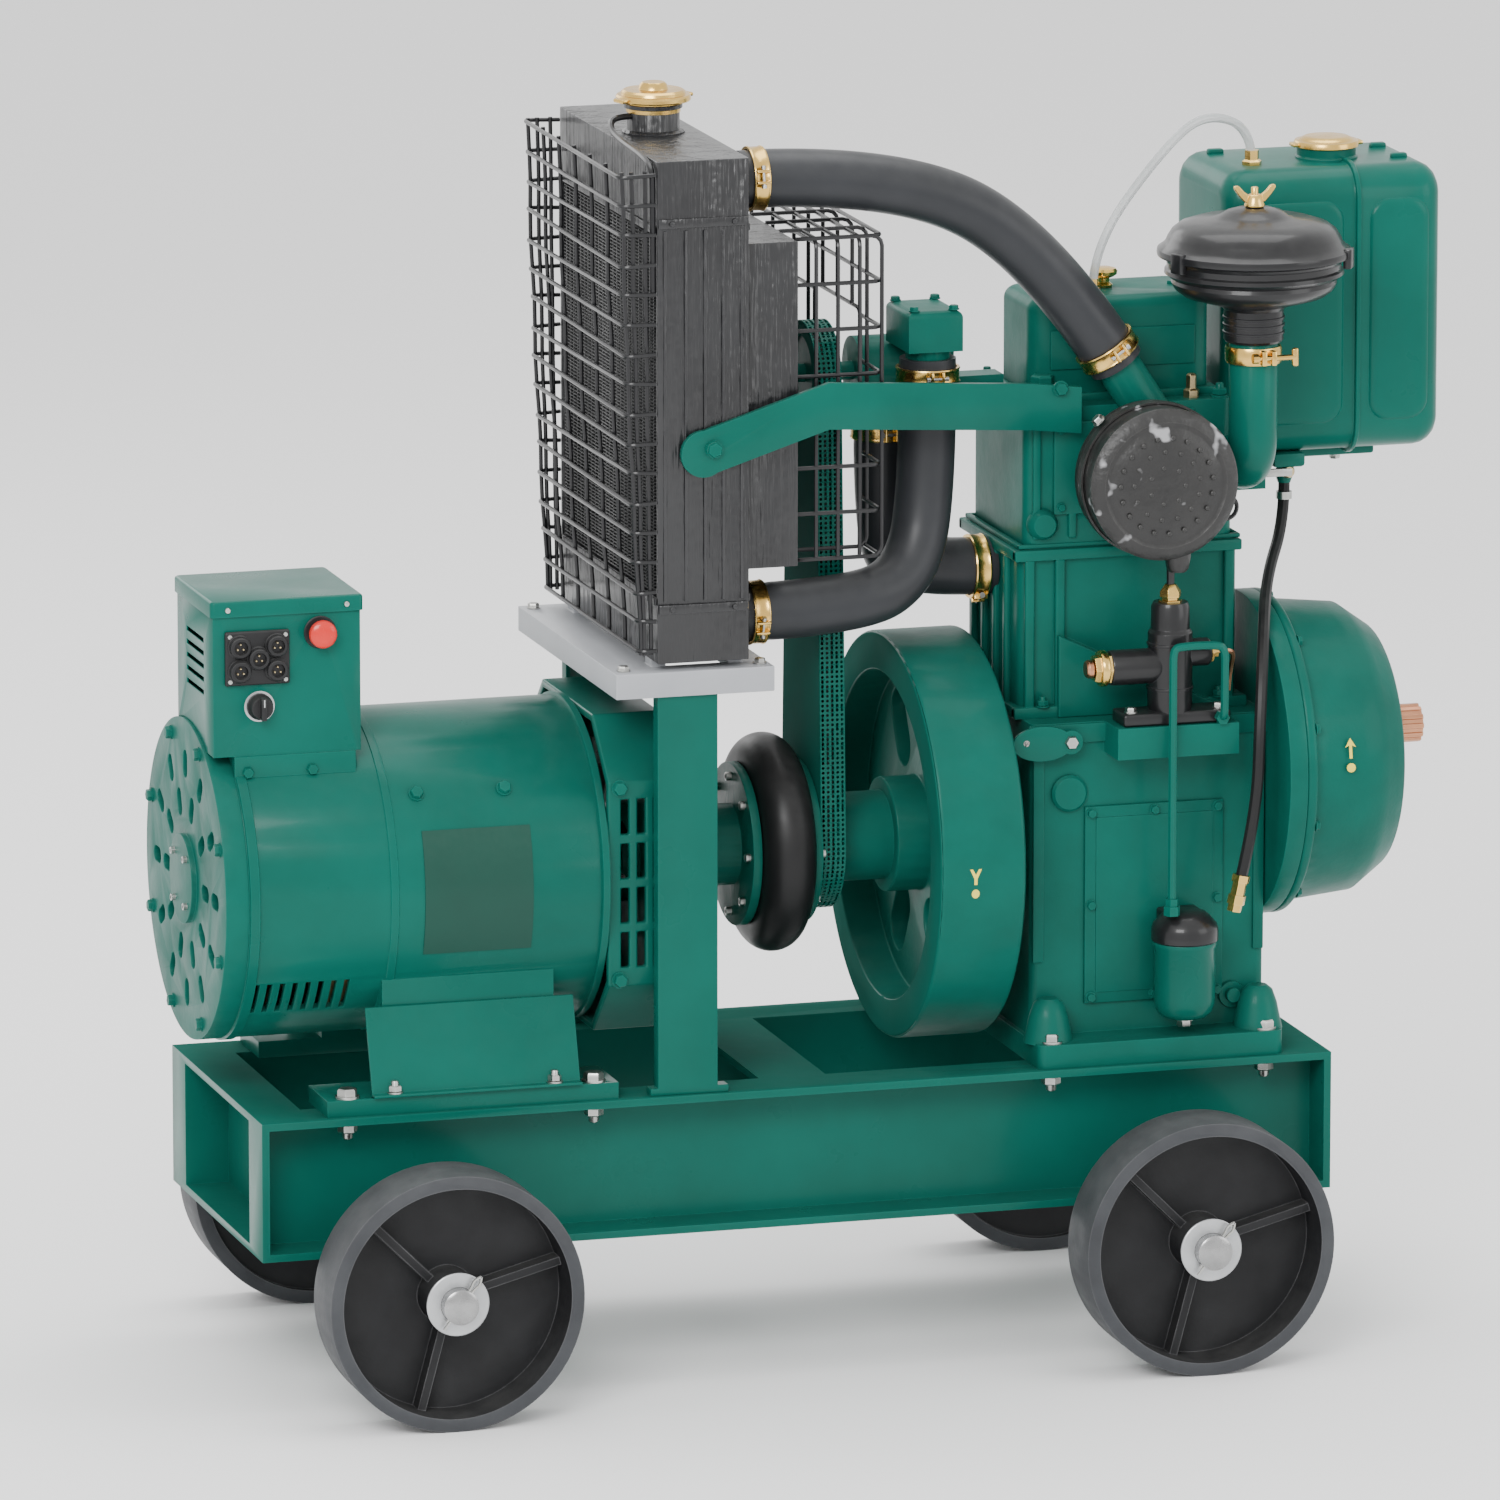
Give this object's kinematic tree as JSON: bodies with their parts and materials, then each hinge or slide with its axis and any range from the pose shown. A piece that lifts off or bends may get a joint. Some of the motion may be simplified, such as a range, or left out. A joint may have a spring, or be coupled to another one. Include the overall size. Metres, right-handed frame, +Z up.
{
  "type": "trolley mounted diesel generator",
  "caption": "Single-cylinder water-cooled diesel engine with radiator, driving an alternator through a tyre coupling, on a four-wheeled channel-steel trolley.",
  "frame": {"origin": "on the ground under the middle of the whole object's box", "axes": "+X from the alternator towards the fuel tank along the shaft, -Y the side with the injection pump and silencer, +Z up"},
  "size_m": [1.401, 0.6798, 1.372],
  "materials": {
    "air_cleaner": "black enamel on pressed sheet",
    "alternator_barrel": "gloss enamel",
    "alternator_drive_bracket": "enamel on a casting",
    "alternator_end_cover": "enamel on a casting",
    "alternator_foot_plates": "gloss enamel",
    "alternator_rotor": "varnished core on a ground shaft",
    "axles": "turned, with zinc washers and pins",
    "belt_guard": "gloss enamel on perforated sheet",
    "cam_gear": "cut",
    "camshaft": "turned, with a copper-coloured end",
    "chassis_frame": "gloss enamel over brushed primer",
    "connecting_rod": "forged",
    "control_box": "gloss enamel",
    "control_box_lid": "gloss enamel",
    "coolant_hoses": "smooth moulded",
    "coupling_flanges": "oiled",
    "coupling_tyre": "moulded",
    "crank_gear": "cut",
    "crank_pulley": "turned",
    "crankcase": "enamel on a casting",
    "crankshaft": "ground",
    "cylinder_block": "enamel on a casting",
    "cylinder_head": "enamel on a casting",
    "drive_belt": "moulded",
    "exhaust_valve": "ground",
    "fan": "black enamel",
    "filler_knob": "turned",
    "flywheel": "enamel on a casting",
    "frame_bolts": "zinc plated",
    "fuel_and_oil_lines": "hose and painted tube",
    "fuel_filter": "gloss enamel",
    "fuel_tank": "gloss enamel on pressed sheet",
    "fuel_tap": "cast",
    "gear_case": "enamel on a casting",
    "governor_lever": "gloss enamel",
    "hose_clips": "plated strip",
    "injection_pump": "black enamel with brass unions",
    "inlet_valve": "ground",
    "intake_pipe": "gloss enamel",
    "piston": "turned",
    "pump_pulley": "turned",
    "radiator": "black wrinkle finish",
    "radiator_cap": "pressed",
    "radiator_stand": "gloss enamel",
    "rocker_cover": "enamel on a casting",
    "selector_knob": "moulded",
    "shaft_bearings": "ground",
    "silencer": "heat-proof black",
    "socket_panel": "moulded",
    "stator": "varnished laminations",
    "stop_button": "moulded",
    "support_arm": "gloss enamel",
    "tank_cap": "pressed",
    "water_pump": "enamel on a casting",
    "wheel_left_far": "grey paint on a casting",
    "wheel_left_near": "grey paint on a casting",
    "wheel_right_far": "grey paint on a casting",
    "wheel_right_near": "grey paint on a casting",
    "wing_nut": "cast",
    "wire_guards": "gloss enamel on wire"
  },
  "bodies": {
    "trolley": {"air_cleaner": "air_cleaner", "alternator_barrel": "alternator_barrel", "alternator_drive_bracket": "alternator_drive_bracket", "alternator_end_cover": "alternator_end_cover", "alternator_foot_plates": "alternator_foot_plates", "axles": "axles", "belt_guard": "belt_guard", "chassis_frame": "chassis_frame", "control_box": "control_box", "coolant_hoses": "coolant_hoses", "crankcase": "crankcase", "cylinder_block": "cylinder_block", "cylinder_head": "cylinder_head", "drive_belt": "drive_belt", "frame_bolts": "frame_bolts", "fuel_and_oil_lines": "fuel_and_oil_lines", "fuel_filter": "fuel_filter", "fuel_tank": "fuel_tank", "gear_case": "gear_case", "hose_clips": "hose_clips", "injection_pump": "injection_pump", "intake_pipe": "intake_pipe", "radiator": "radiator", "radiator_stand": "radiator_stand", "rocker_cover": "rocker_cover", "shaft_bearings": "shaft_bearings", "silencer": "silencer", "socket_panel": "socket_panel", "stator": "stator", "support_arm": "support_arm", "water_pump": "water_pump", "wire_guards": "wire_guards"},
    "crank_line": {"crankshaft": "crankshaft", "crank_gear": "crank_gear", "flywheel": "flywheel", "crank_pulley": "crank_pulley", "coupling_flanges": "coupling_flanges", "coupling_tyre": "coupling_tyre", "alternator_rotor": "alternator_rotor"},
    "cam_line": {"camshaft": "camshaft", "cam_gear": "cam_gear"},
    "fan_line": {"fan": "fan", "pump_pulley": "pump_pulley"},
    "piston_line": {"piston": "piston", "connecting_rod": "connecting_rod"},
    "inlet_valve_body": {"inlet_valve": "inlet_valve"},
    "exhaust_valve_body": {"exhaust_valve": "exhaust_valve"},
    "control_box_lid_body": {"control_box_lid": "control_box_lid"},
    "stop_button_body": {"stop_button": "stop_button"},
    "selector_knob_body": {"selector_knob": "selector_knob"},
    "governor_lever_body": {"governor_lever": "governor_lever"},
    "fuel_tap_body": {"fuel_tap": "fuel_tap"},
    "tank_cap_body": {"tank_cap": "tank_cap"},
    "radiator_cap_body": {"radiator_cap": "radiator_cap"},
    "wing_nut_body": {"wing_nut": "wing_nut"},
    "filler_knob_body": {"filler_knob": "filler_knob"},
    "wheel_left_near_body": {"wheel_left_near": "wheel_left_near"},
    "wheel_left_far_body": {"wheel_left_far": "wheel_left_far"},
    "wheel_right_near_body": {"wheel_right_near": "wheel_right_near"},
    "wheel_right_far_body": {"wheel_right_far": "wheel_right_far"}
  },
  "joints": [
    {"name": "crank_spin", "type": "hinge", "parent": "trolley", "child": "crank_line", "pos_m": [0, 0, 0.541], "axis": [1, 0, 0], "continuous": true},
    {"name": "cam_spin", "type": "hinge", "parent": "trolley", "child": "cam_line", "pos_m": [0, -0.088, 0.6473], "axis": [1, 0, 0], "continuous": true},
    {"name": "fan_spin", "type": "hinge", "parent": "trolley", "child": "fan_line", "pos_m": [0, 0, 1.05], "axis": [1, 0, 0], "continuous": true},
    {"name": "piston_stroke", "type": "slide", "parent": "trolley", "child": "piston_line", "axis": [0, 0, 1], "range_m": [0, 0.11]},
    {"name": "inlet_valve_lift", "type": "slide", "parent": "trolley", "child": "inlet_valve_body", "axis": [0, 0, -1], "range_m": [0, 0.007], "stiffness_N_per_m": 8000, "springref_m": -0.001},
    {"name": "exhaust_valve_lift", "type": "slide", "parent": "trolley", "child": "exhaust_valve_body", "axis": [0, 0, -1], "range_m": [0, 0.007], "stiffness_N_per_m": 8000, "springref_m": -0.001},
    {"name": "lid_hinge", "type": "hinge", "parent": "trolley", "child": "control_box_lid_body", "pos_m": [-0.6115, 0.043, 0.84372], "axis": [-1, 0, 0], "range_deg": [0, 100]},
    {"name": "stop_button_press", "type": "slide", "parent": "trolley", "child": "stop_button_body", "axis": [0, 1, 0], "range_m": [0, 0.004], "stiffness_N_per_m": 400},
    {"name": "selector_knob_turn", "type": "hinge", "parent": "trolley", "child": "selector_knob_body", "pos_m": [-0.6415, -0.112, 0.74622], "axis": [0, 1, 0], "range_deg": [-90, 90]},
    {"name": "governor_lever_swing", "type": "hinge", "parent": "trolley", "child": "governor_lever_body", "pos_m": [0.2425, -0.147, 0.6623], "axis": [0, 1, 0], "range_deg": [-12, 12]},
    {"name": "fuel_tap_turn", "type": "hinge", "parent": "trolley", "child": "fuel_tap_body", "pos_m": [0.5305, 0, 0.916], "axis": [0, -1, 0], "range_deg": [0, 90]},
    {"name": "tank_cap_turn", "type": "hinge", "parent": "trolley", "child": "tank_cap_body", "pos_m": [0.59226, 0.0498, 1.264], "axis": [0, 0, 1], "range_deg": [0, 90]},
    {"name": "radiator_cap_turn", "type": "hinge", "parent": "trolley", "child": "radiator_cap_body", "pos_m": [-0.1775, 0, 1.352], "axis": [0, 0, 1], "range_deg": [0, 90]},
    {"name": "wing_nut_turn", "type": "hinge", "parent": "trolley", "child": "wing_nut_body", "pos_m": [0.4475, -0.14, 1.242], "axis": [0, 0, 1], "continuous": true},
    {"name": "filler_knob_turn", "type": "hinge", "parent": "trolley", "child": "filler_knob_body", "pos_m": [0.3245, 0, 1.136], "axis": [0, 0, 1], "continuous": true},
    {"name": "wheel_left_near_roll", "type": "hinge", "parent": "trolley", "child": "wheel_left_near_body", "pos_m": [-0.4855, 0, 0.138], "axis": [0, 1, 0], "continuous": true},
    {"name": "wheel_left_far_roll", "type": "hinge", "parent": "trolley", "child": "wheel_left_far_body", "pos_m": [-0.4855, 0, 0.138], "axis": [0, 1, 0], "continuous": true},
    {"name": "wheel_right_near_roll", "type": "hinge", "parent": "trolley", "child": "wheel_right_near_body", "pos_m": [0.3465, 0, 0.138], "axis": [0, 1, 0], "continuous": true},
    {"name": "wheel_right_far_roll", "type": "hinge", "parent": "trolley", "child": "wheel_right_far_body", "pos_m": [0.3465, 0, 0.138], "axis": [0, 1, 0], "continuous": true}
  ],
  "couplings": [
    {"joint": "cam_spin", "follows": "crank_spin", "ratio": -0.5},
    {"joint": "fan_spin", "follows": "crank_spin", "ratio": 1.4286}
  ]
}
